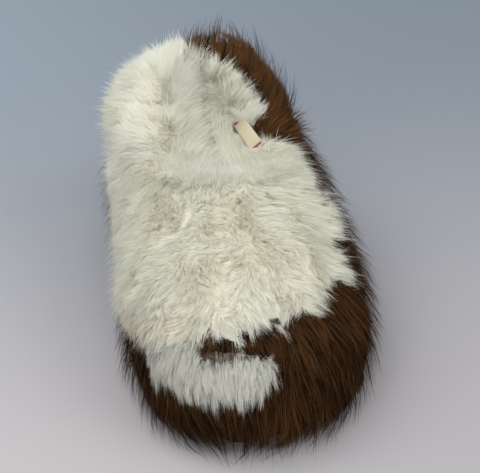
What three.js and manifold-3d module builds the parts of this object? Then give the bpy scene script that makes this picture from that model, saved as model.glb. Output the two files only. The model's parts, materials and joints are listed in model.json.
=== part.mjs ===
// Fur slipper for the left foot: a hollow pelt upper on a soft sole, with deep fur outside.
// Units are millimetres. +Z is up, the floor is Z = 0, the toe points to -Y and the wearer's left is +X.

import * as THREE from "three";
import { mergeVertices } from "three/addons/utils/BufferGeometryUtils.js";
import loadManifold from "manifold-3d";

const wasm = await loadManifold();
wasm.setup();

// The last: the foot form that the upper is shaped on.
const LAST_LENGTH = 246;
const BALL_WIDTH = 94;
const INSTEP_HEIGHT = 84;
const HEEL_HEIGHT = 106;

// The wall of the upper and the layers under the foot.
const PELT_WALL = 2.5;
const SOLE_THICKNESS = 5;
const SOLE_LIP = 1.2;
const ARCH_LIFT = 2;
const TOE_SPRING = 4;
const INSOLE_THICKNESS = 4;
const SEAT_GAP = 0.3;

// How deep the fur stands off the pelt.
const SIDE_FUR_DEPTH = 20;
const OUTER_FULLNESS = 0.25;
const CREST_STEP = 50;
const VAMP_FUR_DEPTH = 25;
const VAMP_FUR_TOP = 0.97;
const BLAZE_FUR_DEPTH = 24;
const COLLAR_FUR_INSIDE = 16;
const COLLAR_FUR_DROP = 14;
const COLLAR_LOCKS = 28;
const FUR_ROOT = 1;
const FLOOR_CLEARANCE = 1.2;

// The folded label sewn in at the collar, lying over its inner slope, and the notch in the collar round it.
// It lies behind the outer quarter, by a share of the way round, and above and inside the collar edge.
const LABEL_WIDTH = 32;
const LABEL_HEIGHT = 10;
const LABEL_CLOTH = 0.7;
const LABEL_FOLD = 2.4;
const LABEL_SEWN = 2;
const LABEL_BACK = 0.0125;
const LABEL_CLIMB = 6.5;
const LABEL_STANDOFF = 7;
const LABEL_LEAN = THREE.MathUtils.degToRad(110);
const LABEL_TURN = THREE.MathUtils.degToRad(10);
const NOTCH_DEPTH = 25;
const NOTCH_PINCH = 9;
const NOTCH_REACH = 0.045;

// Stations round the last, from the toe by the outer side to the heel and back by the inner side.
// along, across: the sole edge, in half lengths of the last and half widths of the ball.
// topAlong, topAcross, climb: the collar edge, with its height going from instep (0) to heel (1).
// swell: how far the wall bellies out. split: where brown fur ends, from the sole (0) to the collar (1).
// cuff: how far the collar fur stands off the pelt. rise: how far it stands past the collar edge.
const COLUMNS = ["along", "across", "topAlong", "topAcross", "climb", "swell", "split", "cuff", "rise"];
const LAST = {
  toeTip: [-1.0, -0.18, -0.1, -0.1, 0.0, 9, 0.54, 27, 8],
  outerToe: [-0.83, 0.58, -0.08, 0.25, 0.0, 9, 0.59, 27, 8],
  outerBall: [-0.42, 0.92, 0.03, 0.54, 0.02, 8, 0.8, 23, 12],
  outerWaist: [0.0, 0.84, 0.2, 0.72, 0.06, 8, 0.93, 17, 20],
  outerQuarter: [0.4, 0.74, 0.45, 0.78, 0.2, 9, 1.06, 8, 26],
  outerHeel: [0.77, 0.64, 0.74, 0.62, 0.7, 9, 1.22, 7, 30],
  heelBack: [1.0, 0.0, 0.92, 0.0, 1.0, 9, 1.16, 12, 38],
  innerHeel: [0.77, -0.64, 0.74, -0.64, 0.7, 9, 0.84, 32, 43],
  innerQuarter: [0.38, -0.68, 0.45, -0.78, 0.25, 8, 0.6, 24, 32],
  innerWaist: [-0.05, -0.76, 0.2, -0.72, 0.06, 9, 0.46, 24, 20],
  innerBall: [-0.5, -1.04, 0.03, -0.56, 0.02, 9, 0.41, 28, 12],
  innerToe: [-0.86, -0.88, -0.07, -0.36, 0.0, 9, 0.42, 27, 8],
};

// How the wall's curve leaves the sole edge and reaches the collar edge.
const WALL_RISE = 0.5;
const WALL_DROP = 0.4;
const WALL_REACH = 0.6;

// Facets round the shoe and up its wall.
const ROUND = 44;
const WALL_ROWS = 7;
const FUR_ROUND = 38;
const FUR_ROWS = 5;
const CUFF_POINTS = 10;

const HALF_LENGTH = LAST_LENGTH / 2;
const HALF_BALL = BALL_WIDTH / 2;
const WALL_LENGTH = INSTEP_HEIGHT;
const SPRING_START = -0.62 * HALF_LENGTH;
const UP = new THREE.Vector3(0, 0, 1);

const STATIONS = Object.keys(LAST);
const stationAt = (name) => STATIONS.indexOf(name) / STATIONS.length;
const LABEL_AT = stationAt("outerQuarter") + LABEL_BACK;

// Closed curves through the rows, so that each column of the table runs smoothly round the shoe.
function roundTheLast(pointOf) {
  const points = STATIONS.map((name) => {
    const row = Object.fromEntries(COLUMNS.map((column, k) => [column, LAST[name][k]]));
    return new THREE.Vector3(...pointOf(row));
  });
  return new THREE.CatmullRomCurve3(points, true, "catmullrom", 0.5);
}

const soleEdge = roundTheLast((row) => [row.across * HALF_BALL, row.along * HALF_LENGTH, row.swell]);
const collarEdge = roundTheLast((row) => [
  row.topAcross * HALF_BALL,
  row.topAlong * HALF_LENGTH,
  INSTEP_HEIGHT + row.climb * (HEEL_HEIGHT - INSTEP_HEIGHT),
]);
const furEdge = roundTheLast((row) => [row.split, row.cuff, row.rise]);

const fraction = (t) => t - Math.floor(t);
const splitAt = (t) => furEdge.getPoint(fraction(t)).x;
const cuffAt = (t) => furEdge.getPoint(fraction(t)).y;
const riseAt = (t) => furEdge.getPoint(fraction(t)).z;

// Height of the sole's upper face at a place along the foot.
function soleTop(y) {
  const share = Math.max(0, (SPRING_START - y) / (SPRING_START + HALF_LENGTH));
  return SOLE_THICKNESS + TOE_SPRING * share * share;
}

// Level direction that points out of the shoe at the sole edge.
function outward(t) {
  const tangent = soleEdge.getTangent(fraction(t));
  return new THREE.Vector3(tangent.y, -tangent.x, 0).normalize();
}

// The pelt's outer face: t runs round the shoe, v from the sole edge at 0 to the collar edge at 1.
function pelt(t, v) {
  const edge = soleEdge.getPoint(fraction(t));
  const swell = outward(t).multiplyScalar(edge.z);
  const bottom = new THREE.Vector3(edge.x, edge.y, soleTop(edge.y) + SEAT_GAP);
  const top = collarEdge.getPoint(fraction(t));
  const height = top.z - bottom.z;
  const low = bottom.clone().add(swell).addScaledVector(UP, WALL_RISE * height);
  const high = top.clone().lerp(bottom, WALL_REACH).add(swell);
  high.z = top.z - WALL_DROP * height;
  return new THREE.CubicBezierCurve3(bottom, low, high, top).getPoint(v);
}

const alongT = (t, v, step = 0.004) => pelt(t + step, v).sub(pelt(t - step, v)).normalize();
const alongV = (t, v, step = 0.01) => pelt(t, v + step).sub(pelt(t, v - step)).normalize();
const normalAt = (t, v) => alongT(t, v).cross(alongV(t, v)).normalize();
const offPelt = (t, v, distance) => pelt(t, v).addScaledVector(normalAt(t, v), distance);

// A repeatable number from -1 to 1, for locks that don't all lie alike.
const vary = (seed) => 2 * fraction(Math.sin(seed * 12.9898) * 43758.5453) - 1;

function aboveFloor(point) {
  point.z = Math.max(point.z, FLOOR_CLEARANCE);
  return point;
}

// A solid from points and triangles that face outwards.
function solidFrom(points, triangles) {
  const vertProperties = new Float32Array(points.flatMap((point) => point.toArray()));
  const triVerts = new Uint32Array(triangles);
  return new wasm.Manifold(new wasm.Mesh({ numProp: 3, vertProperties, triVerts }));
}

// A solid from a closed three.js geometry.
function solidOf(geometry) {
  const bare = geometry.clone().deleteAttribute("normal").deleteAttribute("uv");
  const merged = mergeVertices(bare, 1e-4);
  const vertProperties = new Float32Array(merged.getAttribute("position").array);
  const triVerts = new Uint32Array(merged.index.array);
  return new wasm.Manifold(new wasm.Mesh({ numProp: 3, vertProperties, triVerts }));
}

const joined = (solids) => solids.reduce((all, one) => all.add(one));
const largest = (solid) => solid.decompose().sort((a, b) => b.volume() - a.volume())[0];

// Triangles over a grid of points, columns round the shoe and rows up it, each closed on itself or not.
function skin(columns, rows, closedColumns, closedRows, number) {
  const triangles = [];
  for (let i = 0; i < (closedColumns ? columns : columns - 1); i++) {
    for (let j = 0; j < (closedRows ? rows : rows - 1); j++) {
      const right = (i + 1) % columns;
      const above = (j + 1) % rows;
      triangles.push(number(i, j), number(right, j), number(right, above));
      triangles.push(number(i, j), number(right, above), number(i, above));
    }
  }
  return triangles;
}

// A layer on the pelt: a solid between two distances from it, from a low line to a high line.
// It goes all the way round, or from one place round the shoe to another.
function layer({ from = 0, to = 1, columns, rows, low, high, inside, outside }) {
  const closed = to - from === 1;
  const points = [];
  for (const distance of [outside, inside]) {
    for (let i = 0; i < columns; i++) {
      const t = from + ((to - from) * i) / (closed ? columns : columns - 1);
      for (let j = 0; j < rows; j++) {
        const share = j / (rows - 1);
        const v = low(t) + share * (high(t) - low(t));
        points.push(aboveFloor(offPelt(t, v, distance(t, share))));
      }
    }
  }
  const outer = (i, j) => i * rows + j;
  const inner = (i, j) => (columns + i) * rows + j;
  const faces = skin(columns, rows, closed, false, outer);
  const back = skin(columns, rows, closed, false, inner);
  for (let k = 0; k < back.length; k += 3) faces.push(back[k], back[k + 2], back[k + 1]);
  const band = (a, b, c, d) => faces.push(a, b, c, a, c, d);
  const last = rows - 1;
  for (let i = 0; i < (closed ? columns : columns - 1); i++) {
    const next = (i + 1) % columns;
    band(outer(i, 0), inner(i, 0), inner(next, 0), outer(next, 0));
    band(outer(next, last), inner(next, last), inner(i, last), outer(i, last));
  }
  if (!closed) {
    const end = columns - 1;
    for (let j = 0; j < last; j++) {
      band(outer(0, j + 1), inner(0, j + 1), inner(0, j), outer(0, j));
      band(outer(end, j), inner(end, j), inner(end, j + 1), outer(end, j + 1));
    }
  }
  return solidFrom(points, faces);
}

// One pointed lock of fur: a diamond at its root, a wider one at its middle, and a tip.
// path is root, middle and tip, side is the direction across the lock, and a gap makes it larger.
function lock(path, side, width, thickness, gap) {
  const points = [];
  [0.8, 1].forEach((share, k) => {
    const way = path[k + 1].clone().sub(path[k]).normalize();
    const across = side.clone().addScaledVector(way, -side.dot(way)).normalize();
    const lift = way.clone().cross(across);
    for (let corner = 0; corner < 4; corner++) {
      const angle = (corner * Math.PI) / 2;
      const point = path[k].clone();
      point.addScaledVector(across, Math.cos(angle) * ((share * width) / 2 + 2 * gap));
      point.addScaledVector(lift, Math.sin(angle) * ((share * thickness) / 2 + 2 * gap));
      points.push(aboveFloor(point));
    }
  });
  const reach = path[2].clone().sub(path[1]).setLength(4 * gap);
  points.push(aboveFloor(path[2].clone().add(reach)));
  const faces = [0, 2, 1, 0, 3, 2];
  for (let k = 0; k < 4; k++) {
    const next = (k + 1) % 4;
    faces.push(k, next, 4 + next, k, 4 + next, 4 + k, 4 + k, 4 + next, 8);
  }
  return solidFrom(points, faces);
}

// A row of locks on the pelt. Each runs from the row by a share of the wall, a little askew, and ends proud
// of the fur. A run below zero lies towards the sole.
function locksOnPelt({ from, to, share, count, line, depth, run, width, thickness, seed, gap }) {
  const locks = [];
  for (let k = 0; k < count; k++) {
    const number = seed + k;
    const t = from + ((to - from) * (k + 0.5 + 0.25 * vary(number))) / count;
    const v = line(t, share);
    const fall = run * (1 + 0.25 * vary(number + 0.3));
    const askew = 0.008 * vary(number + 0.6);
    const path = [
      offPelt(t, v, 0.6 * depth(t)),
      offPelt(t + 0.5 * askew, v + 0.5 * fall, 1.05 * depth(t)),
      offPelt(t + askew, v + fall, 1.16 * depth(t)),
    ];
    locks.push(lock(path, alongT(t, v), width * (1 + 0.2 * vary(number + 0.9)), thickness, gap));
  }
  return locks;
}

// A layer under the foot: the footprint, where it meets the side profile between two heights.
function underfoot(move, bottom, top, arch) {
  const margin = 10;
  const width = BALL_WIDTH + 4 * margin;
  const heel = HALF_LENGTH + margin;
  const toe = -HALF_LENGTH - margin;
  const archHeel = 0.3 * HALF_LENGTH;
  const archToe = -0.24 * HALF_LENGTH;
  const rise = soleTop(toe) - SOLE_THICKNESS;
  const springTurn = (SPRING_START + toe) / 2;
  const profile = new THREE.Shape()
    .moveTo(heel, bottom)
    .lineTo(heel, top)
    .lineTo(SPRING_START, top)
    .quadraticCurveTo(springTurn, top, toe, top + rise)
    .lineTo(toe, bottom + rise)
    .quadraticCurveTo(springTurn, bottom, SPRING_START, bottom);
  if (arch > 0) {
    profile.lineTo(archToe, bottom);
    profile.quadraticCurveTo((archHeel + archToe) / 2, bottom + 2 * arch, archHeel, bottom);
  }
  // The profile is drawn along the foot and up, so its extrusion is turned to run across the foot.
  const across = new THREE.ExtrudeGeometry(profile, { depth: width, bevelEnabled: false, curveSegments: 8 });
  across.rotateX(Math.PI / 2).rotateZ(Math.PI / 2).translate(-width / 2, 0, 0);
  const outline = [];
  for (let k = 0; k < ROUND; k++) {
    const edge = soleEdge.getPoint(k / ROUND).addScaledVector(outward(k / ROUND), move);
    outline.push(new THREE.Vector2(edge.x, edge.y));
  }
  const plan = new THREE.ExtrudeGeometry(new THREE.Shape(outline), { depth: 60, bevelEnabled: false });
  plan.translate(0, 0, -20);
  return solidOf(across).intersect(solidOf(plan));
}

// The hollow upper, or with a gap given, the room that it needs.
function upperShell(gap = 0) {
  const past = gap / WALL_LENGTH;
  return layer({
    columns: ROUND,
    rows: WALL_ROWS,
    low: () => -3 * past,
    high: () => 1 + 3 * past,
    outside: () => gap,
    inside: () => -PELT_WALL - gap,
  });
}

// A fur layer with its locks, and made larger by a gap. The line says where a share of its height lies
// on the wall, the depth is given round the shoe, and the crown is how much fuller its middle is.
function furPiece({ from = 0, to = 1, columns, rows = FUR_ROWS, line, root, depth, crown, locks, gap }) {
  const margin = gap / WALL_LENGTH;
  const ends = to - from === 1 ? 0 : margin / 3;
  const body = layer({
    from: from - ends,
    to: to + ends,
    columns,
    rows,
    low: (t) => line(t, 0) - margin,
    high: (t) => line(t, 1) + margin,
    inside: root ?? (() => -FUR_ROOT),
    outside: (t, share) => gap + depth(t) * (1 - crown + 2 * crown * Math.sin(Math.PI * share)),
  });
  const tufts = locks.flatMap((row) => locksOnPelt({ from, to, line, depth, gap, ...row }));
  return joined([body, ...tufts]);
}

// How far a place round the shoe lies within the notch that the label stands in: 1 at its middle, 0 outside.
function notchAt(t) {
  const away = (fraction(t) - LABEL_AT) / NOTCH_REACH;
  return Math.exp(-away * away);
}

// Brown fur of the wall, with locks that fan out towards the floor and stand up behind the heel.
function sideFur() {
  const top = (t) => splitAt(t) + 0.03 - 0.1 * notchAt(t);
  const line = (t, share) => -0.04 + share * (top(t) + 0.04);
  const hanging = { run: -0.34, width: 21, thickness: 8 };
  const standing = { from: 0.38, to: 0.52, run: 0.2, width: 15, thickness: 9 };
  return furPiece({
    columns: FUR_ROUND,
    line,
    root: (t, share) => Math.max(-FUR_ROOT, CREST_STEP * (line(t, share) - 1)),
    depth: (t) => SIDE_FUR_DEPTH * (1 + OUTER_FULLNESS * Math.max(0, Math.sin(2 * Math.PI * t))),
    crown: 0.08,
    gap: 0,
    locks: [
      { ...hanging, share: 0.42, count: 15, seed: 3 },
      { ...hanging, share: 0.74, count: 14, seed: 40 },
      { ...standing, share: 0.8, count: 6, seed: 90 },
    ],
  });
}

// White fur of the vamp and the inner side. Its lower locks hang over the brown fur.
function vampFur(gap = 0) {
  const from = stationAt("innerHeel") - 1;
  const to = stationAt("outerWaist");
  const low = (t) => Math.min(splitAt(t) - 0.03, VAMP_FUR_TOP - 0.12);
  const backwards = (t) => (2 * t - from - to) / (to - from);
  return furPiece({
    from,
    to,
    columns: 36,
    line: (t, share) => low(t) + share * (VAMP_FUR_TOP - low(t)),
    depth: (t) => VAMP_FUR_DEPTH * (1 - 0.3 * backwards(t) ** 4),
    crown: 0.1,
    gap,
    locks: [
      { share: 0.28, count: 16, run: -0.22, width: 22, thickness: 9, seed: 200 },
      { share: 0.68, count: 10, run: -0.24, width: 24, thickness: 9, seed: 260 },
    ],
  });
}

// White patch on the front of the toe, ending below in pointed locks.
function toeBlazeFur(gap = 0) {
  return furPiece({
    from: -0.1,
    to: 0.0,
    columns: 8,
    rows: 3,
    line: (t, share) => 0.28 + 0.13 * share,
    depth: () => BLAZE_FUR_DEPTH,
    crown: 0.06,
    gap,
    locks: [{ share: 0.5, count: 6, run: -0.13, width: 15, thickness: 7, seed: 320 }],
  });
}

// White fur of the collar: a soft roll over the edge, with locks that part outwards from the opening.
function collarFur(gap = 0) {
  const place = (t, angle, stretch) => {
    const off = Math.cos(angle);
    const past = Math.sin(angle);
    const away = gap + (off > 0 ? cuffAt(t) - NOTCH_PINCH * notchAt(t) : COLLAR_FUR_INSIDE);
    const beyond = gap + (past > 0 ? riseAt(t) - NOTCH_DEPTH * notchAt(t) : COLLAR_FUR_DROP);
    return pelt(t, 1)
      .addScaledVector(normalAt(t, 1), off * away * stretch)
      .addScaledVector(alongV(t, 1), past * beyond * stretch);
  };
  const points = [];
  for (let i = 0; i < FUR_ROUND; i++) {
    for (let j = 0; j < CUFF_POINTS; j++) {
      points.push(place(i / FUR_ROUND, (2 * Math.PI * j) / CUFF_POINTS, 1));
    }
  }
  const roll = solidFrom(points, skin(FUR_ROUND, CUFF_POINTS, true, true, (i, j) => i * CUFF_POINTS + j));
  const locks = [];
  for (let k = 0; k < COLLAR_LOCKS; k++) {
    const t = (k + 0.3 * vary(k)) / COLLAR_LOCKS;
    const angle = (k % 2 === 0 ? 0.62 : 1.35) + 0.12 * vary(k + 0.5);
    const path = [place(t, angle, 0.6), place(t, angle - 0.25, 0.99), place(t, angle - 0.5, 1.12)];
    locks.push(lock(path, alongT(t, 1), 15, 8, gap));
  }
  return joined([roll, ...locks]);
}

// A loop of woven tape, folded at its free edge and sewn in above the collar edge.
// With a gap given, it is the room that the label needs, closed at its ends.
function sideLabel(gap = 0) {
  const height = LABEL_HEIGHT + gap;
  const half = LABEL_FOLD / 2 + gap;
  const bend = half;
  const section = new THREE.Shape().moveTo(half, -gap).lineTo(half, height - bend);
  section.absarc(0, height - bend, bend, 0, Math.PI);
  section.lineTo(-half, -gap);
  if (gap === 0) {
    const inner = half - LABEL_CLOTH;
    section.lineTo(-inner, 0).lineTo(-inner, height - bend);
    section.absarc(0, height - bend, inner, Math.PI, 0, true);
    section.lineTo(inner, 0);
  }
  const width = LABEL_WIDTH + 2 * gap;
  const cloth = new THREE.ExtrudeGeometry(section, { depth: width, bevelEnabled: false, curveSegments: 5 });
  cloth.translate(0, 0, -width / 2);
  const across = alongT(LABEL_AT, 1).negate();
  const up = alongV(LABEL_AT, 1).applyAxisAngle(across, LABEL_LEAN);
  const off = up.clone().cross(across);
  across.applyAxisAngle(off, LABEL_TURN);
  up.applyAxisAngle(off, LABEL_TURN);
  const foot = offPelt(LABEL_AT, 1, -LABEL_STANDOFF).addScaledVector(alongV(LABEL_AT, 1), LABEL_CLIMB);
  foot.addScaledVector(up, -LABEL_SEWN);
  cloth.applyMatrix4(new THREE.Matrix4().makeBasis(off, up, across).setPosition(foot));
  return solidOf(cloth);
}

// Looks, one for each material.
const FINISHES = {
  brownFur: { color: 0x3a2416, roughness: 0.85 },
  whiteFur: { color: 0xe4dfd0, roughness: 0.9 },
  pelt: { color: 0xb9a88c, roughness: 0.9 },
  soleHide: { color: 0x6b4a30, roughness: 0.8 },
  felt: { color: 0xcfc6b4, roughness: 0.95 },
  tape: { color: 0xd8d2bd, roughness: 0.8 },
};

// A named mesh of one solid, in the finish given.
function meshOf(name, solid, finish) {
  const { vertProperties, triVerts } = solid.getMesh();
  const geometry = new THREE.BufferGeometry();
  geometry.setAttribute("position", new THREE.BufferAttribute(vertProperties, 3));
  geometry.setIndex(new THREE.BufferAttribute(triVerts, 1));
  geometry.computeVertexNormals();
  const material = new THREE.MeshStandardMaterial({ ...FINISHES[finish], metalness: 0 });
  const mesh = new THREE.Mesh(geometry, material);
  mesh.name = name;
  return mesh;
}

function buildSlipper() {
  const outsole = underfoot(SOLE_LIP, 0, SOLE_THICKNESS, ARCH_LIFT);
  const insoleFoot = SOLE_THICKNESS + SEAT_GAP;
  const insole = underfoot(-PELT_WALL - 2 * SEAT_GAP, insoleFoot, insoleFoot + INSOLE_THICKNESS, 0);
  const labelRoom = sideLabel(SEAT_GAP);
  const hardRoom = upperShell(SEAT_GAP)
    .add(underfoot(SOLE_LIP + SEAT_GAP, -1, SOLE_THICKNESS + SEAT_GAP, 0))
    .add(labelRoom);

  // Each fur piece keeps clear of the pelt, the sole and the label, and of the fur that lies over it.
  const roomOf = (fur) => fur().add(fur(SEAT_GAP));
  const collarRoom = hardRoom.add(roomOf(collarFur));
  const vampRoom = collarRoom.add(roomOf(vampFur));
  const blazeRoom = vampRoom.add(roomOf(toeBlazeFur));
  const collar = largest(collarFur().subtract(hardRoom));
  const vamp = largest(vampFur().subtract(collarRoom));
  const blaze = largest(toeBlazeFur().subtract(vampRoom));
  const side = largest(sideFur().subtract(blazeRoom));

  const slipper = new THREE.Group();
  slipper.add(
    meshOf("outsole", outsole, "soleHide"),
    meshOf("insole", insole, "felt"),
    meshOf("upper", upperShell(), "pelt"),
    meshOf("side_fur", side, "brownFur"),
    meshOf("toe_blaze_fur", blaze, "whiteFur"),
    meshOf("vamp_fur", vamp, "whiteFur"),
    meshOf("collar_fur", collar, "whiteFur"),
    meshOf("side_label", sideLabel(), "tape"),
  );

  // The middle of the whole slipper's box stands over the origin.
  const middle = new THREE.Box3().setFromObject(slipper).getCenter(new THREE.Vector3());
  slipper.position.set(-middle.x, -middle.y, 0);
  return slipper;
}

export default buildSlipper();
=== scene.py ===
"""Dress the fur slipper: undercoats, combed hair, lining pile, sole, insole and woven label."""

import json
import logging
import math
from dataclasses import dataclass, field
from enum import Enum

import bpy
import numpy as np
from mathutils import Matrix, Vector, noise
from mathutils.bvhtree import BVHTree
from mathutils.kdtree import KDTree


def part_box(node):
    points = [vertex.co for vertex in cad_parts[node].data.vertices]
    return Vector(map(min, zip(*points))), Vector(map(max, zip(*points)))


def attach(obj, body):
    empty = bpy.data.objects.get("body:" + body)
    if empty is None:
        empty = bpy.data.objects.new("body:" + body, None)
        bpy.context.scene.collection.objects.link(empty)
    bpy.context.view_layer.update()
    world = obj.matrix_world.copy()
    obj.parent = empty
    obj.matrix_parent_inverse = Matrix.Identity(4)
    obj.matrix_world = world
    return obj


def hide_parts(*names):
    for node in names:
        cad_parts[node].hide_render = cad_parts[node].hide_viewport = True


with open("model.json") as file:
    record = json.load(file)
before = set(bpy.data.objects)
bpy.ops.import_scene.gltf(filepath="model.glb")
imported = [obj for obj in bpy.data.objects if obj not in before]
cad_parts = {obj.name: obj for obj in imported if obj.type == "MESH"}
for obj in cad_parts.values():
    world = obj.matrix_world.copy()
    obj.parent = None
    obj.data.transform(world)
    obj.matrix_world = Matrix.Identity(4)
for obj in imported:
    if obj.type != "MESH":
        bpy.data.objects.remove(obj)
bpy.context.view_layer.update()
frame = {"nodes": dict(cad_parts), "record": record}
LOG = logging.getLogger("fur_slipper")

BODY = "root"
MM = 0.001
IMAGE_WIDTH_PX = 480
NOISE_SEED = 5

# Smoothing of wrapped shapes, and the least lengths that are divided by
SMOOTHING = 0.5
LEAST_LENGTH = 1e-9
LEAST_WEIGHT = 1e-5

# Spans of the shared node groups
ROOT_SPAN = (0.0, 0.6)
TIP_SPAN = (0.55, 1.0)
NAP_DETAIL = {"Broad": 3.0, "Fine": 6.0}
NAP_BROAD_SHARE = 0.4
MOTTLE_SPAN = (0.3, 0.7)

# How far hair may pass the skin, and how deep an undercoat lies, deeper where another fur grows over it
FLOOR_ROOM = 0.4 * MM
TOP_ROOM = 15 * MM
BORDER_SINK = 6 * MM
DEEPEST_SINK = 12 * MM
LUMP_WAVE = 9 * MM
LUMP_HEIGHT = 1.2 * MM

# How hair is kept off the face of the label
LABEL_PARTING = 14 * MM
LABEL_LEAST = 0.1
LABEL_CORE = 0.82
LABEL_TRIM = 0.6
LABEL_TRIMS = 4
LABEL_SAMPLES = (0.25, 0.5, 0.75)
LABEL_VIEW = (-0.19, -0.82, 0.54)
LABEL_SIGHT = 60 * MM
LABEL_HALF = 26 * MM

# Where the wall's brown fur reaches into the white: behind the heel, beside the label and above the blaze
HEEL_BAND_DEG = (10.0, 95.0)
HEEL_BAND_RADIUS = 47 * MM
NOTCH_ASIDE = (8 * MM, 7 * MM)
NOTCH_RADIUS = 19 * MM
STRIP_ENDS = ((-34 * MM, -119 * MM, 61 * MM), (-4 * MM, -122 * MM, 60 * MM))
STRIP_RADIUS = 7 * MM
STRIP_WAVE = 8 * MM
STRIP_RANGE = (0.9, 1.5)
PLUSH = ("collar_fur", "vamp_fur")
WISP_ZONE = ((-90 * MM, -112 * MM, 0.0), (-42 * MM, -45 * MM, 100 * MM))

# How hair lies: which facets are open to the air, which face the mouth, and where it stands up
OPEN_AIR = -0.75
INWARD_SPAN = 0.5
INWARD_FROM = 0.2
STAND_FROM = 0.6
STAND_OVER = 0.25
LIFT_WAVE = 20 * MM
LIFT_SWING = 0.5
TONE_WAVE = 30 * MM
TONE_SWING = 0.6
SOFT_RISE = 0.7
FRINGE_LEAST = 0.1

# How the parts of a hair's shape grow from root to tip, as powers
DIP_CURVE = 1.4
PULL_CURVE = 1.2
STRETCH_CURVE = 1.5
FRIZZ_CURVE = 0.5

# Ribbons
TWIST = 0.6
WIDTH_RANGE = (0.7, 1.3)
TAPER_FROM = 0.8
PALETTE_EDGE = 0.02
PALETTE_SIZE = 0.96

Colour = tuple[float, float, float]
Place = tuple[float, float, float]
Range = tuple[float, float]


class Mark(Enum):
    """Numbers that each hair's mesh carries for its colour."""

    ALONG = "along"
    TONE = "tone"


class Growth(Enum):
    """What a panel of fur grows."""

    HAIR = "hair"
    WISPS = "wisps"


class Drift(Enum):
    """The smooth random fields, each as a shift of one field."""

    LIFT = 3.0
    STRIP = 4.0
    LUMPS = 5.0
    TONE = 7.0
    LIE = 11.0
    TOUSLE = 13.0


@dataclass(frozen=True)
class Chance:
    """How far hairs and locks differ: ranges of shares, and for pull and sink the powers of a beta spread."""

    reach: Range = (0.75, 1.2)
    tight: Range = (0.6, 1.4)
    pull: Range = (3.0, 1.5)
    lock_stretch: Range = (-0.3, 1.0)
    part: Range = (0.3, 1.0)
    sink: Range = (1.0, 2.0)


CHANCE = Chance()


def linked(name: str, mesh: bpy.types.Mesh) -> bpy.types.Object:
    """Put a mesh into the scene as an object.

    Args:
        name: Name of the new object.
        mesh: Its mesh.

    Returns:
        The new object.
    """
    made = bpy.data.objects.new(name, mesh)
    bpy.context.scene.collection.objects.link(made)
    return made


def unit(vectors: np.ndarray) -> np.ndarray:
    """Scale vectors along the last axis to length one."""
    return vectors / np.maximum(np.linalg.norm(vectors, axis=-1, keepdims=True), LEAST_LENGTH)


def across(vectors: np.ndarray, normals: np.ndarray) -> np.ndarray:
    """Take from vectors the part that lies along the normals."""
    return vectors - normals * np.sum(vectors * normals, axis=-1, keepdims=True)


def finder_of(points: np.ndarray) -> KDTree:
    """Make a finder of the nearest of some points."""
    finder = KDTree(len(points))
    for number, point in enumerate(points):
        finder.insert(point, number)
    finder.balance()
    return finder


def wander(points: np.ndarray, size: float, drift: Drift, seed: int = 0) -> np.ndarray:
    """Read a smooth random field of vectors.

    Args:
        points: Where to read it, in metres.
        size: How far the field runs before it changes, in metres.
        drift: The field.
        seed: Shifts the field further, so that two coats differ.

    Returns:
        One vector for each point, each part between about -1 and 1.
    """
    shifted = points / size + (drift.value + seed)
    return np.array([noise.noise_vector(Vector(place)) for place in shifted])


def mesh_arrays(mesh: bpy.types.Mesh) -> tuple[np.ndarray, np.ndarray, np.ndarray]:
    """Read a mesh as arrays.

    Args:
        mesh: The mesh to read.

    Returns:
        Its vertices, its vertex normals and the corners of its triangles.
    """
    mesh.calc_loop_triangles()
    vertices = np.empty(len(mesh.vertices) * 3, np.float32)
    mesh.vertices.foreach_get("co", vertices)
    normals = np.empty(len(mesh.vertices) * 3, np.float32)
    mesh.vertices.foreach_get("normal", normals)
    triangles = np.empty(len(mesh.loop_triangles) * 3, np.int32)
    mesh.loop_triangles.foreach_get("vertices", triangles)
    places, facing = (values.reshape(-1, 3).astype(float) for values in (vertices, normals))
    return places, facing, triangles.reshape(-1, 3)


def softened(name: str, mesh: bpy.types.Mesh, voxel: float, rounds: int) -> bpy.types.Object:
    """Make an even, rounded copy of a faceted mesh.

    Args:
        name: Name of the new object.
        mesh: The mesh to copy.
        voxel: Size of the new facets, in metres.
        rounds: How often the copy is smoothed.

    Returns:
        The new object.
    """
    rough = linked(name + "_rough", mesh)
    remesh = rough.modifiers.new("even", "REMESH")
    remesh.mode = "VOXEL"
    remesh.voxel_size = voxel
    smooth = rough.modifiers.new("round", "SMOOTH")
    smooth.factor = SMOOTHING
    smooth.iterations = rounds
    even = bpy.data.meshes.new_from_object(rough.evaluated_get(bpy.context.evaluated_depsgraph_get()))
    bpy.data.objects.remove(rough)
    return linked(name, even)


def push_out(shape: bpy.types.Object, distance: float) -> None:
    """Move a mesh's surface out along its normals.

    Args:
        shape: The object whose mesh is moved.
        distance: How far, in metres, or below zero to move it in.
    """
    vertices, normals, _ = mesh_arrays(shape.data)
    shape.data.vertices.foreach_set("co", (vertices + normals * distance).astype(np.float32).ravel())
    shape.data.update()


def wrapped(name: str, mesh: bpy.types.Mesh, voxel: float, rounds: int, reach: float) -> bpy.types.Object:
    """Wrap a mesh in an even skin that fills narrow creases.

    Args:
        name: Name of the new object.
        mesh: The mesh to wrap.
        voxel: Size of the skin's facets, in metres.
        rounds: How often the skin is smoothed.
        reach: Half the width of the creases that are filled, in metres.

    Returns:
        The new object.
    """
    for distance in (reach, -reach):
        shape = softened(name, mesh, voxel, rounds)
        push_out(shape, distance)
        mesh = shape.data
        bpy.data.objects.remove(shape)
    return softened(name, mesh, voxel, rounds)


# Shader node groups

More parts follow.
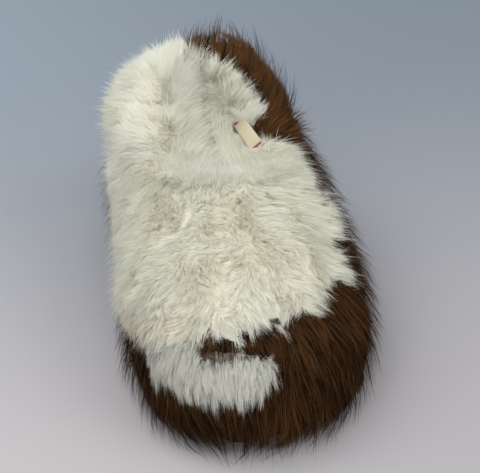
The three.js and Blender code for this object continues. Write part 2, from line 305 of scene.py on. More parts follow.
def new_group(name: str, inputs: dict[str, str], outputs: dict[str, str]) -> bpy.types.NodeTree:
    """Start a shader node group with named sockets.

    Args:
        name: Name of the group.
        inputs: Socket types by name.
        outputs: Socket types by name.

    Returns:
        The group, with its input and output nodes in place.
    """
    group = bpy.data.node_groups.new(name, "ShaderNodeTree")
    for in_out, sockets in (("INPUT", inputs), ("OUTPUT", outputs)):
        for label, kind in sockets.items():
            group.interface.new_socket(label, in_out=in_out, socket_type="NodeSocket" + kind)
    group.nodes.new("NodeGroupInput")
    group.nodes.new("NodeGroupOutput")
    return group


def math_node(
    tree: bpy.types.NodeTree, operation: str, first: object, second: object
) -> bpy.types.NodeSocket:
    """Add a Math node.

    Args:
        tree: The tree that gets the node.
        operation: The node's operation.
        first: A socket or a number.
        second: A socket or a number.

    Returns:
        The node's output.
    """
    node = tree.nodes.new("ShaderNodeMath")
    node.operation = operation
    for socket, value in zip(node.inputs, (first, second)):
        if isinstance(value, bpy.types.NodeSocket):
            tree.links.new(value, socket)
        else:
            socket.default_value = value
    return node.outputs[0]


def ramp_node(tree: bpy.types.NodeTree, value: object, low: float, high: float) -> bpy.types.NodeSocket:
    """Add a Map Range node that runs smoothly from 0 at low to 1 at high.

    Args:
        tree: The tree that gets the node.
        value: The socket that it reads.
        low: Value that gives 0.
        high: Value that gives 1.

    Returns:
        The node's output.
    """
    node = tree.nodes.new("ShaderNodeMapRange")
    node.interpolation_type = "SMOOTHSTEP"
    tree.links.new(value, node.inputs["Value"])
    node.inputs["From Min"].default_value = low
    node.inputs["From Max"].default_value = high
    return node.outputs["Result"]


def mix_node(
    tree: bpy.types.NodeTree, factor: object, first: object, second: object, blend: str = "MIX"
) -> bpy.types.NodeSocket:
    """Add a Mix node for colours.

    Args:
        tree: The tree that gets the node.
        factor: A socket or a number.
        first: A socket or a colour.
        second: A socket or a colour.
        blend: The node's blending.

    Returns:
        The node's output.
    """
    node = tree.nodes.new("ShaderNodeMix")
    node.data_type = "RGBA"
    node.blend_type = blend
    for index, value in ((0, factor), (6, first), (7, second)):
        if isinstance(value, bpy.types.NodeSocket):
            tree.links.new(value, node.inputs[index])
        else:
            node.inputs[index].default_value = value if index == 0 else (*value, 1.0)
    return node.outputs[2]


class Groups:
    """The shader node groups that several finishes share."""

    def __init__(self) -> None:
        """Build each group once."""
        self.hair_tone = self._hair_tone()
        self.nap = self._nap()
        self.weave = self._weave()

    def _hair_tone(self) -> bpy.types.NodeTree:
        """Build the colour of a hair: a dark root, a body between two tones and a tip.

        Returns:
            The group.
        """
        group = new_group(
            "Hair tone",
            {
                "Along": "Float", "Tone": "Float", "Root": "Color", "Low": "Color", "High": "Color",
                "Tip": "Color", "Tip Share": "Float",
            },
            {"Colour": "Color"},
        )
        given = group.nodes["Group Input"].outputs
        body = mix_node(group, given["Tone"], given["Low"], given["High"])
        grown = mix_node(group, ramp_node(group, given["Along"], *ROOT_SPAN), given["Root"], body)
        end = math_node(group, "MULTIPLY", ramp_node(group, given["Along"], *TIP_SPAN), given["Tip Share"])
        whole = mix_node(group, end, grown, given["Tip"])
        group.links.new(whole, group.nodes["Group Output"].inputs["Colour"])
        return group

    def _nap(self) -> bpy.types.NodeTree:
        """Build a soft nap: a broad and a fine mottle, as a mask and as a height.

        Returns:
            The group.
        """
        group = new_group("Nap", {"Broad": "Float", "Fine": "Float"}, {"Mottle": "Float", "Height": "Float"})
        given = group.nodes["Group Input"].outputs
        place = group.nodes.new("ShaderNodeTexCoord").outputs["Object"]
        readings = []
        for label, detail in NAP_DETAIL.items():
            texture = group.nodes.new("ShaderNodeTexNoise")
            texture.inputs["Detail"].default_value = detail
            group.links.new(place, texture.inputs["Vector"])
            group.links.new(given[label], texture.inputs["Scale"])
            readings.append(texture.outputs["Fac"])
        broad = math_node(group, "MULTIPLY", readings[0], NAP_BROAD_SHARE)
        height = math_node(group, "ADD", broad, readings[1])
        ends = group.nodes["Group Output"].inputs
        group.links.new(ramp_node(group, readings[0], *MOTTLE_SPAN), ends["Mottle"])
        group.links.new(height, ends["Height"])
        return group

    def _weave(self) -> bpy.types.NodeTree:
        """Build a plain weave of crossing threads, as a mask and as a height.

        Returns:
            The group.
        """
        group = new_group("Weave", {"Threads": "Float"}, {"Mask": "Float", "Height": "Float"})
        given = group.nodes["Group Input"].outputs
        place = group.nodes.new("ShaderNodeTexCoord").outputs["Object"]
        bands = []
        for direction in ("Y", "Z"):
            wave = group.nodes.new("ShaderNodeTexWave")
            wave.bands_direction = direction
            group.links.new(place, wave.inputs["Vector"])
            group.links.new(given["Threads"], wave.inputs["Scale"])
            bands.append(wave.outputs["Fac"])
        mask = math_node(group, "MULTIPLY", bands[0], bands[1])
        ends = group.nodes["Group Output"].inputs
        group.links.new(mask, ends["Mask"])
        group.links.new(math_node(group, "MAXIMUM", bands[0], bands[1]), ends["Height"])
        return group


def new_material(name: str, roughness: float, specular: float) -> tuple[bpy.types.Material, bpy.types.Node]:
    """Start a material with one Principled shader.

    Args:
        name: Name of the material.
        roughness: Roughness all over.
        specular: Specular level all over.

    Returns:
        The material and its shader.
    """
    material = bpy.data.materials.new(name)
    material.use_nodes = True
    shader = material.node_tree.nodes["Principled BSDF"]
    shader.inputs["Roughness"].default_value = roughness
    shader.inputs["Specular IOR Level"].default_value = specular
    return material, shader


def place_group(
    tree: bpy.types.NodeTree, group: bpy.types.NodeTree, values: dict[str, object]
) -> bpy.types.bpy_prop_collection:
    """Put a group into a material and set its inputs.

    Args:
        tree: The material's tree.
        group: The group.
        values: Numbers, colours or sockets by input name.

    Returns:
        The outputs of the group's node.
    """
    node = tree.nodes.new("ShaderNodeGroup")
    node.node_tree = group
    for label, value in values.items():
        if isinstance(value, bpy.types.NodeSocket):
            tree.links.new(value, node.inputs[label])
        elif isinstance(value, tuple):
            node.inputs[label].default_value = (*value, 1.0)
        else:
            node.inputs[label].default_value = value
    return node.outputs


def raise_surface(tree: bpy.types.NodeTree, height: object, distance: float, shader: bpy.types.Node) -> None:
    """Lead a height through a Bump node to a shader's normal.

    Args:
        tree: The material's tree.
        height: The socket that gives the height.
        distance: Height of the relief, in metres.
        shader: The shader.
    """
    bump = tree.nodes.new("ShaderNodeBump")
    bump.inputs["Distance"].default_value = distance
    tree.links.new(height, bump.inputs["Height"])
    tree.links.new(bump.outputs["Normal"], shader.inputs["Normal"])


@dataclass(frozen=True)
class HairFinish:
    """Colours and gloss of one kind of hair, and how much light passes through it."""

    name: str
    root: Colour
    low: Colour
    high: Colour
    tip: Colour
    tip_share: float
    roughness: float
    specular: float
    through: float

    def material(self, groups: Groups) -> bpy.types.Material:
        """Build the material of single hairs.

        Args:
            groups: The shared node groups.

        Returns:
            The material.
        """
        material, shader = new_material(self.name, self.roughness, self.specular)
        tree = material.node_tree
        marks = {}
        for label in Mark:
            mark = tree.nodes.new("ShaderNodeAttribute")
            mark.attribute_name = label.value
            marks[label.value.capitalize()] = mark.outputs["Fac"]
        colours = {"Root": self.root, "Low": self.low, "High": self.high, "Tip": self.tip}
        values = {**marks, **colours, "Tip Share": self.tip_share}
        tone = place_group(tree, groups.hair_tone, values)["Colour"]
        tree.links.new(tone, shader.inputs["Base Color"])
        glow = tree.nodes.new("ShaderNodeBsdfTranslucent")
        tree.links.new(tone, glow.inputs["Color"])
        both = tree.nodes.new("ShaderNodeMixShader")
        both.inputs["Fac"].default_value = self.through
        tree.links.new(shader.outputs["BSDF"], both.inputs[1])
        tree.links.new(glow.outputs["BSDF"], both.inputs[2])
        tree.links.new(both.outputs["Shader"], tree.nodes["Material Output"].inputs["Surface"])
        return material


@dataclass(frozen=True)
class NapFinish:
    """A matt, napped surface in two tones, such as wool, suede or felt."""

    name: str
    dark: Colour
    light: Colour
    broad: float
    fine: float
    relief: float
    roughness: float = 0.9
    specular: float = 0.2

    def material(self, groups: Groups) -> bpy.types.Material:
        """Build the material.

        Args:
            groups: The shared node groups.

        Returns:
            The material.
        """
        material, shader = new_material(self.name, self.roughness, self.specular)
        tree = material.node_tree
        nap = place_group(tree, groups.nap, {"Broad": self.broad, "Fine": self.fine})
        colour = mix_node(tree, nap["Mottle"], self.dark, self.light)
        tree.links.new(colour, shader.inputs["Base Color"])
        raise_surface(tree, nap["Height"], self.relief, shader)
        return material


@dataclass(frozen=True)
class TapeFinish:
    """Plain woven tape with a narrow line woven across it near each end."""

    axis: Place
    ends: Range
    name: str = "woven_tape"
    gap: Colour = (0.38, 0.32, 0.21)
    thread: Colour = (0.52, 0.45, 0.32)
    line: Colour = (0.16, 0.025, 0.045)
    threads: float = 700.0
    line_inset: float = 4 * MM
    line_width: float = 1.6 * MM
    line_edge: Range = (0.4, 0.6)
    relief: float = 0.15 * MM
    roughness: float = 0.7
    specular: float = 0.3

    def material(self, groups: Groups) -> bpy.types.Material:
        """Build the material.

        Args:
            groups: The shared node groups.

        Returns:
            The material.
        """
        material, shader = new_material(self.name, self.roughness, self.specular)
        tree = material.node_tree
        weave = place_group(tree, groups.weave, {"Threads": self.threads})
        cloth = mix_node(tree, weave["Mask"], self.thread, self.gap)
        place = tree.nodes.new("ShaderNodeVectorMath")
        place.operation = "DOT_PRODUCT"
        tree.links.new(tree.nodes.new("ShaderNodeTexCoord").outputs["Object"], place.inputs[0])
        place.inputs[1].default_value = self.axis
        middle, half = sum(self.ends) / 2, (self.ends[1] - self.ends[0]) / 2
        from_middle = math_node(tree, "SUBTRACT", place.outputs["Value"], middle)
        aside = math_node(tree, "ABSOLUTE", from_middle, 0.0)
        from_line = math_node(tree, "SUBTRACT", aside, half - self.line_inset)
        off_line = math_node(tree, "ABSOLUTE", from_line, 0.0)
        plain = ramp_node(tree, off_line, *(self.line_width * edge for edge in self.line_edge))
        tree.links.new(mix_node(tree, plain, self.line, cloth), shader.inputs["Base Color"])
        raise_surface(tree, weave["Height"], self.relief, shader)
        return material


BROWN_HAIR = HairFinish(
    "brown_hair", root=(0.008, 0.003, 0.001), low=(0.006, 0.0018, 0.0004), high=(0.115, 0.049, 0.014),
    tip=(0.11, 0.056, 0.026), tip_share=0.25, roughness=0.6, specular=0.06, through=0.25,
)
FAWN_HAIR = HairFinish(
    "fawn_hair", root=(0.5, 0.39, 0.28), low=(0.5, 0.38, 0.28), high=(0.82, 0.73, 0.61),
    tip=(0.86, 0.78, 0.68), tip_share=0.6, roughness=0.8, specular=0.1, through=0.5,
)
WHITE_HAIR = HairFinish(
    "white_hair", root=(0.88, 0.85, 0.74), low=(0.86, 0.86, 0.78), high=(0.89, 0.86, 0.73),
    tip=(0.9, 0.89, 0.8), tip_share=0.5, roughness=0.8, specular=0.05, through=0.5,
)
BLAZE_HAIR = HairFinish(
    "blaze_hair", root=(0.34, 0.31, 0.26), low=(0.38, 0.37, 0.32), high=(0.76, 0.75, 0.67),
    tip=(0.7, 0.69, 0.62), tip_share=0.5, roughness=0.7, specular=0.15, through=0.4,
)
BROWN_WOOL = NapFinish(
    "brown_undercoat", dark=(0.006, 0.0025, 0.001), light=(0.016, 0.007, 0.003), broad=90, fine=900,
    relief=1.2 * MM,
)
# The white undercoat is cream like the wool, darkened below the white hair as painted shade deep in the fur
# between the hairs.
SHADED_WHITE_WOOL = NapFinish(
    "shaded_white_undercoat", dark=(0.66, 0.62, 0.52), light=(0.74, 0.7, 0.6), broad=90, fine=900, relief=1.2 * MM,
)
PELT_SKIN = NapFinish(
    "pelt_skin", dark=(0.36, 0.29, 0.2), light=(0.5, 0.42, 0.31), broad=60, fine=1400, relief=0.3 * MM,
)
SOLE_SUEDE = NapFinish(
    "sole_suede", dark=(0.075, 0.04, 0.021), light=(0.13, 0.074, 0.04), broad=45, fine=1600,
    relief=0.25 * MM,
)
INSOLE_FELT = NapFinish(
    "insole_felt", dark=(0.46, 0.41, 0.33), light=(0.62, 0.57, 0.48), broad=80, fine=1800, relief=0.4 * MM,
)


class OuterSkin:
    """One smooth skin over all the solids, which the hair is combed over."""

    def __init__(self, voxel: float, rounds: int, reach: float) -> None:
        """Wrap the solids and note which node each facet belongs to.

        Args:
            voxel: Size of the skin's facets, in metres.
            rounds: How often the skin is smoothed.
            reach: Half the width of the creases that the skin fills, in metres.
        """
        self.names = sorted(frame["nodes"])
        vertices, triangles, owners = [], [], []
        start = 0
        for number, name in enumerate(self.names):
            places, _, corners = mesh_arrays(frame["nodes"][name].data)
            vertices.append(places)
            triangles.append(corners + start)
            owners.append(np.full(len(corners), number))
            start += len(places)
        all_vertices = np.concatenate(vertices)
        all_triangles = np.concatenate(triangles)
        solids = bpy.data.meshes.new("solids")
        solids.from_pydata(all_vertices.tolist(), [], all_triangles.tolist())
        wrap = wrapped("skin", solids, voxel, rounds, reach)
        self.vertices, self.normals, self.triangles = mesh_arrays(wrap.data)
        bpy.data.objects.remove(wrap)
        near = BVHTree.FromPolygons(all_vertices.tolist(), all_triangles.tolist())
        self.tree = BVHTree.FromPolygons(self.vertices.tolist(), self.triangles.tolist())
        self.centres = self.vertices[self.triangles].mean(axis=1)
        owner_of = np.concatenate(owners)
        self.owners = np.array([owner_of[near.find_nearest(Vector(centre))[2]] for centre in self.centres])
        edges = self.vertices[self.triangles]
        crossed = np.cross(edges[:, 1] - edges[:, 0], edges[:, 2] - edges[:, 0])
        self.areas = np.linalg.norm(crossed, axis=1) / 2
        self.facing = unit(crossed)
        mouth = next(box for box in frame["record"]["physics"]["openings"] if box["name"] == "mouth")
        self.mouth = np.mean(mouth["box_m"], axis=0)
        places, _, corners = mesh_arrays(frame["nodes"]["side_label"].data)
        self.label_middle = places.mean(axis=0)
        core = self.label_middle + (places - self.label_middle) * LABEL_CORE
        self.label = BVHTree.FromPolygons(core.tolist(), corners.tolist())
        self._claim()

    def _claim(self) -> None:
        """Round off the border behind the heel, and lead the wall's hair to the label and above the blaze."""
        out = self.centres - self.mouth
        turn = np.degrees(np.arctan2(out[:, 1], out[:, 0]))
        behind = (turn > HEEL_BAND_DEG[0]) & (turn < HEEL_BAND_DEG[1])
        wide = np.hypot(out[:, 0], out[:, 1]) > HEEL_BAND_RADIUS
        low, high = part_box("side_label")
        from_notch = self.centres[:, :2] - np.array((high[0] + NOTCH_ASIDE[0], low[1] + NOTCH_ASIDE[1]))
        notch = np.hypot(from_notch[:, 0], from_notch[:, 1]) < NOTCH_RADIUS
        first, last = np.array(STRIP_ENDS)
        share = np.clip((self.centres - first) @ (last - first) / np.sum((last - first) ** 2), 0, 1)
        from_strip = np.linalg.norm(self.centres - first - share[:, None] * (last - first), axis=1)
        wave = 1 + wander(self.centres, STRIP_WAVE, Drift.STRIP)[:, 0]
        strip = from_strip < STRIP_RADIUS * np.clip(wave, *STRIP_RANGE)
        wall, collar = self.names.index("side_fur"), self.names.index("collar_fur")
        self.owners[(self.owners == wall) & behind & ~wide] = collar
        plush = np.isin(self.owners, [self.names.index(node) for node in PLUSH])
        blaze = self.owners == self.names.index("toe_blaze_fur")
        self.owners[(plush & (behind & wide | notch)) | ((plush | blaze) & strip)] = wall

    def kin(self, node: str) -> np.ndarray:
        """Say which facets grow the same fur as a node.

        Args:
            node: The node.

        Returns:
            For each facet, whether it does.
        """
        names = PLUSH if node in PLUSH else (node,)
        return np.isin(self.owners, [self.names.index(name) for name in names])

    def scatter(
        self, wanted: np.ndarray, count: int, random: np.random.Generator
    ) -> tuple[np.ndarray, np.ndarray]:
        """Scatter points evenly over chosen facets.

        Args:
            wanted: The facets to use.
            count: How many points.
            random: The source of chance.

        Returns:
            The points, and the smooth normals there.
        """
        share = self.areas[wanted] / self.areas[wanted].sum()
        picked = wanted[random.choice(len(wanted), count, p=share)]
        mixed = random.dirichlet((1.0, 1.0, 1.0), count)[:, :, None]
        corners = self.triangles[picked]
        points = np.sum(self.vertices[corners] * mixed, axis=1)
        return points, unit(np.sum(self.normals[corners] * mixed, axis=1))

    def nearest(self, points: np.ndarray) -> tuple[np.ndarray, np.ndarray, np.ndarray]:
        """Find the skin nearest to points.

        Args:
            points: The points.

        Returns:
            The nearest places on the skin, its smooth normals there and the facets that they lie on.
        """
        hits = [self.tree.find_nearest(Vector(point)) for point in points]
        places = np.array([hit[0] for hit in hits])
        facets = np.array([hit[2] for hit in hits])
        corners = self.triangles[facets]
        away = np.linalg.norm(self.vertices[corners] - places[:, None], axis=2)
        weight = 1 / np.maximum(away, LEAST_WEIGHT)
        return places, unit(np.sum(self.normals[corners] * weight[:, :, None], axis=1)), facets

    def clearance(self, points: np.ndarray, reach: float) -> np.ndarray:
        """Say how far points lie from the label.

        Args:
            points: The points.
            reach: The largest distance of interest, in metres.

        Returns:
            One distance for each point, never over the reach.
        """
        hits = [self.label.find_nearest(Vector(point), reach) for point in points]
        return np.array([reach if hit[3] is None else hit[3] for hit in hits])

    def hides_label(self, points: np.ndarray) -> np.ndarray:
        """Say which hairs would lie over the label, seen from above the toe.

        Args:
            points: The hairs' points, as hair by section by axis.

        Returns:
            For each hair, whether it does.
        """
        view = unit(np.array(LABEL_VIEW))
        off = points - self.label_middle
        near = np.linalg.norm(off - (off @ view)[:, :, None] * view, axis=2).min(axis=1) < LABEL_HALF
        hides = np.zeros(len(points), bool)
        for hair in np.nonzero(near)[0]:
            spans = np.diff(points[hair], axis=0)
            between = [points[hair, :-1] + spans * share for share in LABEL_SAMPLES]
            tried = np.concatenate([points[hair], *between])
            hits = (self.label.ray_cast(Vector(point), Vector(-view), LABEL_SIGHT)[3] for point in tried)
            hides[hair] = any(hit is not None for hit in hits)
        return hides

    def bares_label(self, points: np.ndarray) -> np.ndarray:
        """Cut short the hairs that would lie over the label's face.

        Args:
            points: The hairs' points from root to tip, which are changed.

        Returns:
            For each hair, whether it leaves the face bare.
        """
        over = self.hides_label(points)
        for _ in range(LABEL_TRIMS):
            points[over] = points[over, :1] + (points[over] - points[over, :1]) * LABEL_TRIM
            over[over] = self.hides_label(points[over])
        return ~over

    def to_border(self, node: str, points: np.ndarray) -> np.ndarray:
        """Say how far points lie from the border of a node's fur.

        Args:
            node: The node.
            points: Places on its part of the skin.

        Returns:
            One distance for each point.
        """
        finder = finder_of(self.centres[~self.kin(node)])
        return np.array([finder.find(point)[2] for point in points])

    def inside(self, points: np.ndarray, normals: np.ndarray) -> np.ndarray:
        """Say how squarely the skin faces into the mouth.

        Args:
            points: Places on the skin.
            normals: The skin's normals there.

        Returns:
            For each point, a number from 0, facing out, to 1, facing in.
        """
        outward = points - self.mouth
        outward[:, 2] = 0
        return np.clip(-np.sum(unit(outward) * normals, axis=1) / INWARD_SPAN - INWARD_FROM, 0, 1)

    def flow(self, points: np.ndarray, normals: np.ndarray, droop: float, stand: float) -> np.ndarray:
        """Say which way hair lies: away from the mouth and down, but standing up high on the heel.

        Args:
            points: Places on the skin.
            normals: The skin's normals there.
            droop: How strongly weight pulls the hair down.
            stand: How strongly hair high on the heel stands up.

        Returns:
            One direction along the skin for each point.
        """
        away = unit(points - self.mouth)
        top = self.vertices[:, 2].max()
        high = np.clip((points[:, 2] - STAND_FROM * top) / (STAND_OVER * top), 0, 1)
        away[:, 2] += stand * high - droop
        return unit(across(away, normals))


@dataclass
class Coat:
    """The hair of one panel: how long it is, how it lies and how it gathers. Lengths are in metres.

    Attributes:
        finish: The hair's finish.
        strands: How many hairs.
        locks: How many locks.
        along: How far a hair runs along the skin.
        depth: How far its root lies under the skin.
        proud: How far its tip stands off the skin.
        uneven: How much lower some tips stay.
        width: Width of a hair.
        droop: How strongly its weight pulls it down.
        gather: How closely a lock's tips come together.
        ragged: How far tips run out past their places.
        frizz: Small bends.
        stray: How much locks turn aside.
        seed: Seed of its random numbers.
        streaks: How much single hairs differ in tone.
        guard: Share of long guard hairs.
        guard_lift: How far those stand out.
        inward: How much further tips stand off where they face the mouth.
        overhang: How far tips hang over the fur's border.
        fringe: Width of the border where tips run out in full.
        swirl: Size of the turns.
        stand: How strongly hair high on the heel stands up.
        fade: How much lighter the fur is at the top, partly painted top light and sheen and partly lighter
            fur.
        mingle: How far hairs stray over the border.
        crisp: How much single hairs show in the shading.
        pieces: How many meshes the hair is split into.
        sections: Points along a hair.
        steps: Steps along a guide hair.
    """

    finish: HairFinish
    strands: int
    locks: int
    along: float
    depth: float
    proud: float
    uneven: float
    width: float
    droop: float
    gather: float
    ragged: float
    frizz: float
    stray: float
    seed: int
    streaks: float = 0.5
    guard: float = 0.0
    guard_lift: float = 0.0
    inward: float = 0.0
    overhang: float = 4 * MM
    fringe: float = 1.0
    swirl: float = 24 * MM
    stand: float = 0.0
    fade: float = 0.0
    mingle: float = 0.0
    crisp: float = 0.3
    pieces: int = 1
    sections: int = 4
    steps: int = 6


class Comb:
    """Grows a coat's hair on the skin, from the tips back to the roots."""

    def __init__(self, skin: OuterSkin, coat: Coat, node: str, wanted: np.ndarray) -> None:
        """Hold the skin, the coat and the facets that the hair covers.

        Args:
            skin: The skin.
            coat: The coat.
            node: The node that the hair grows on.
            wanted: The facets that the hair covers.
        """
        self.skin = skin
        self.coat = coat
        self.node = node
        self.wanted = wanted
        self.random = np.random.default_rng(coat.seed)

    def lie(self, points: np.ndarray, normals: np.ndarray) -> np.ndarray:
        """Say which way the hair lies, with the stray bends of its locks.

        Args:
            points: Places on the skin.
            normals: The skin's normals there.

        Returns:
            One direction along the skin for each point.
        """
        bend = wander(points, self.coat.swirl, Drift.LIE, self.coat.seed) * self.coat.stray
        way = self.skin.flow(points, normals, self.coat.droop, self.coat.stand)
        return unit(way + across(bend, normals))

    def guides(self) -> tuple[np.ndarray, np.ndarray, np.ndarray, np.ndarray]:
        """Lead one guide hair for each lock from its tip back along the skin and down to its root.

        Returns:
            The guides' tips on the skin, how far those stand off it, which way they point, and the guides'
            points from tip to root.
        """
        coat = self.coat
        tips, normals = self.skin.scatter(self.wanted, coat.locks, self.random)
        heading = self.lie(tips, normals)
        height = self.lift(tips, normals)
        place, path = tips, [tips]
        mine = self.skin.kin(self.node)
        for step in range(coat.steps):
            back = place - self.lie(place, normals) * coat.along / coat.steps
            next_place, next_normals, facets = self.skin.nearest(back)
            own = mine[facets][:, None]
            place = np.where(own, next_place, place)
            normals = np.where(own, next_normals, normals)
            share = (step + 1) / coat.steps
            path.append(place - normals * coat.depth * share**DIP_CURVE)
        return tips, height, heading, np.stack(path, axis=1)

    def lift(self, points: np.ndarray, normals: np.ndarray) -> np.ndarray:
        """Say how far tips stand off the skin: in waves, and further where the hair leans into the mouth.

        Args:
            points: Places on the skin.
            normals: The skin's normals there.

        Returns:
            One height for each point.
        """
        coat = self.coat
        wave = wander(points, LIFT_WAVE, Drift.LIFT, coat.seed)[:, 0]
        full = coat.proud * (1 + LIFT_SWING * wave) + coat.inward * self.skin.inside(points, normals)
        return full * np.clip(self.skin.clearance(points, LABEL_PARTING) / LABEL_PARTING, LABEL_LEAST, 1)

    def strands(self) -> tuple[np.ndarray, np.ndarray, np.ndarray, np.ndarray]:
        """Grow the single hairs along the guides.

        Returns:
            The hairs' points from root to tip, their normals, their tones and the number of each hair's lock.
        """
        coat, random, count = self.coat, self.random, self.coat.strands
        guide_tips, lifted, heading, paths = self.guides()
        locks = len(guide_tips)
        finder = finder_of(guide_tips)
        tips, normals = self.skin.scatter(self.wanted, count, random)
        tips = tips + across(random.normal(0, 1, tips.shape), normals) * coat.mingle
        lock = np.array([finder.find(tip)[1] for tip in tips])
        at = np.linspace(0, 1, coat.sections) * coat.steps
        low = np.minimum(at.astype(int), coat.steps - 1)
        part = (at - low)[None, :, None]
        guide = paths[:, low] * (1 - part) + paths[:, low + 1] * part
        reach = random.uniform(*CHANCE.reach, (count, 1, 1))
        points = tips[:, None] + (guide - guide_tips[:, None])[lock] * reach
        free = (1 - np.linspace(0, 1, coat.sections))[None, :, None]
        tight = coat.gather * random.uniform(*CHANCE.tight, locks)[lock][:, None, None]
        pull = np.minimum(tight * random.beta(*CHANCE.pull, (count, 1, 1)), 1) * free**PULL_CURVE
        points = points + (guide_tips[lock] - tips)[:, None] * pull
        guard = random.uniform(0, 1, count) < coat.guard
        stretch = coat.ragged * random.uniform(*CHANCE.lock_stretch, locks)[lock]
        stretch = stretch * random.uniform(*CHANCE.part, count)
        height = lifted[lock] - coat.uneven * random.beta(*CHANCE.sink, count)
        height = height + guard * coat.guard_lift * random.uniform(*CHANCE.part, count)
        stretch = stretch + guard * coat.guard_lift * random.uniform(*CHANCE.part, count)
        hang = coat.overhang * random.uniform(*CHANCE.part, locks)[lock]
        border = self.skin.to_border(self.node, tips)
        stretch = np.minimum(stretch * np.clip(1 - border / coat.fringe, FRINGE_LEAST, 1), border + hang)
        points = points + normals[:, None] * height[:, None, None] * free
        points = points + heading[lock][:, None] * stretch[:, None, None] * free**STRETCH_CURVE
        points = points + random.normal(0, 1, points.shape) * coat.frizz * free**FRIZZ_CURVE
        top = self.skin.vertices[:, 2].max()
        points[:, :, 2] = np.clip(points[:, :, 2], FLOOR_ROOM, top + TOP_ROOM)
        tone = self.tones(guide_tips, lock, top)
        soft = normals + np.array((0, 0, SOFT_RISE)) * self.skin.inside(tips, normals)[:, None]
        points = points[:, ::-1]
        kept = self.skin.bares_label(points)
        return points[kept], unit(soft)[kept], tone[kept], lock[kept]

    def tones(self, guide_tips: np.ndarray, lock: np.ndarray, top: float) -> np.ndarray:
        """Say how light hairs are: in broad drifts, lock by lock, lighter towards the top as partly painted
        top light and partly lighter fur, and in single streaks.

        Args:
            guide_tips: The guides' tips.
            lock: The number of each hair's lock.
            top: Height of the skin, in metres.

        Returns:
            One tone from 0 to 1 for each hair.
        """
        coat, random = self.coat, self.random
        drift = 0.5 + TONE_SWING * wander(guide_tips, TONE_WAVE, Drift.TONE, coat.seed)[:, 0]
        own = random.uniform(0, 1, len(guide_tips))
        # Lighter towards the top: partly painted top light and sheen, partly the fur's own lighter tone.
        lock_tone = 0.5 * drift + 0.5 * own + coat.fade * (guide_tips[:, 2] / top - 0.5)
        return np.clip(lock_tone[lock] + coat.streaks * random.uniform(-0.5, 0.5, len(lock)), 0, 1)


class StrandMesh:
    """Turns hairs into a mesh of fine tapered ribbons."""

    def __init__(self, width: float, crisp: float, random: np.random.Generator) -> None:
        """Hold how the ribbons are made.

        Args:
            width: The ribbons' width, in metres.
            crisp: How much of each ribbon's own slant shows in its shading.
            random: The source of chance for their twist.
        """
        self.width = width
        self.crisp = crisp
        self.random = random

    def build(
        self, name: str, points: np.ndarray, normals: np.ndarray, tones: np.ndarray
    ) -> bpy.types.Mesh:
        """Make the mesh of many hairs.

        Args:
            name: Name of the mesh.
            points: The hairs' points, as hair by section by axis, with the tip last.
            normals: The skin's normal for each hair.
            tones: One tone for each hair.

        Returns:
            The mesh, with the attributes along and tone.
        """
        count, sections = points.shape[:2]
        way = unit(np.gradient(points, axis=1))
        normals = np.repeat(normals[:, None], sections, axis=1)
        side = unit(np.cross(way, normals))
        twist = self.random.normal(0, TWIST, (count, 1, 1))
        side = side * np.cos(twist) + np.cross(way, side) * np.sin(twist)
        widths = self.width * self.random.uniform(*WIDTH_RANGE, (count, 1, 1))
        taper = np.sin(np.linspace(TAPER_FROM, math.pi, sections))[None, :-1, None]
        half = side[:, :-1] * widths * taper / 2
        pairs = np.stack([points[:, :-1] - half, points[:, :-1] + half], axis=2)
        vertices = np.concatenate([pairs.reshape(count, -1, 3), points[:, -1:]], axis=1)
        per_hair = vertices.shape[1]
        corners = []
        for section in range(sections - 2):
            low = 2 * section
            corners += [low, low + 1, low + 3, low + 2]
        last = 2 * (sections - 2)
        corners += [last, last + 1, last + 2]
        loops = (np.arange(count)[:, None] * per_hair + np.array(corners)[None, :]).ravel()
        starts = np.arange(0, len(corners), 4)
        starts = (np.arange(count)[:, None] * len(corners) + starts[None, :]).ravel()
        mesh = bpy.data.meshes.new(name)
        mesh.vertices.add(count * per_hair)
        mesh.vertices.foreach_set("co", vertices.astype(np.float32).ravel())
        mesh.loops.add(len(loops))
        mesh.loops.foreach_set("vertex_index", loops.astype(np.int32))
        mesh.polygons.add(len(starts))
        mesh.polygons.foreach_set("loop_start", starts.astype(np.int32))
        mesh.update(calc_edges=True)
        steps = np.linspace(0, 1, sections)
        along = np.append(np.repeat(steps[:-1], 2), 1.0)
        self._mark(mesh, Mark.ALONG, np.tile(along, count))
        self._mark(mesh, Mark.TONE, np.repeat(tones, per_hair))
        self._palette(mesh, np.tile(along, count), np.repeat(tones, per_hair), loops)
        lean = unit(np.cross(side, way))
        shading = unit(normals + self.crisp * lean)
        shading = np.concatenate([np.repeat(shading[:, :-1], 2, axis=1), shading[:, -1:]], axis=1)
        mesh.normals_split_custom_set_from_vertices(shading.reshape(-1, 3).tolist())
        return mesh

    @staticmethod
    def _mark(mesh: bpy.types.Mesh, label: Mark, values: np.ndarray) -> None:
        """Store one number for each vertex."""
        layer = mesh.attributes.new(label.value, "FLOAT", "POINT")
        layer.data.foreach_set("value", values.astype(np.float32))

    @staticmethod
    def _palette(mesh: bpy.types.Mesh, along: np.ndarray, tones: np.ndarray, loops: np.ndarray) -> None:
        """Lay the hairs out on a map by what sets their colour: along the hair, and tone.

        Args:
            mesh: The mesh.
            along: Place along the hair for each vertex.
            tones: Tone for each vertex.
            loops: The vertex of each corner.
        """
        layer = mesh.uv_layers.new(name="OFBake")
        spread = PALETTE_EDGE + PALETTE_SIZE * np.stack([along[loops], tones[loops]], axis=1)
        layer.data.foreach_set("uv", spread.astype(np.float32).ravel())


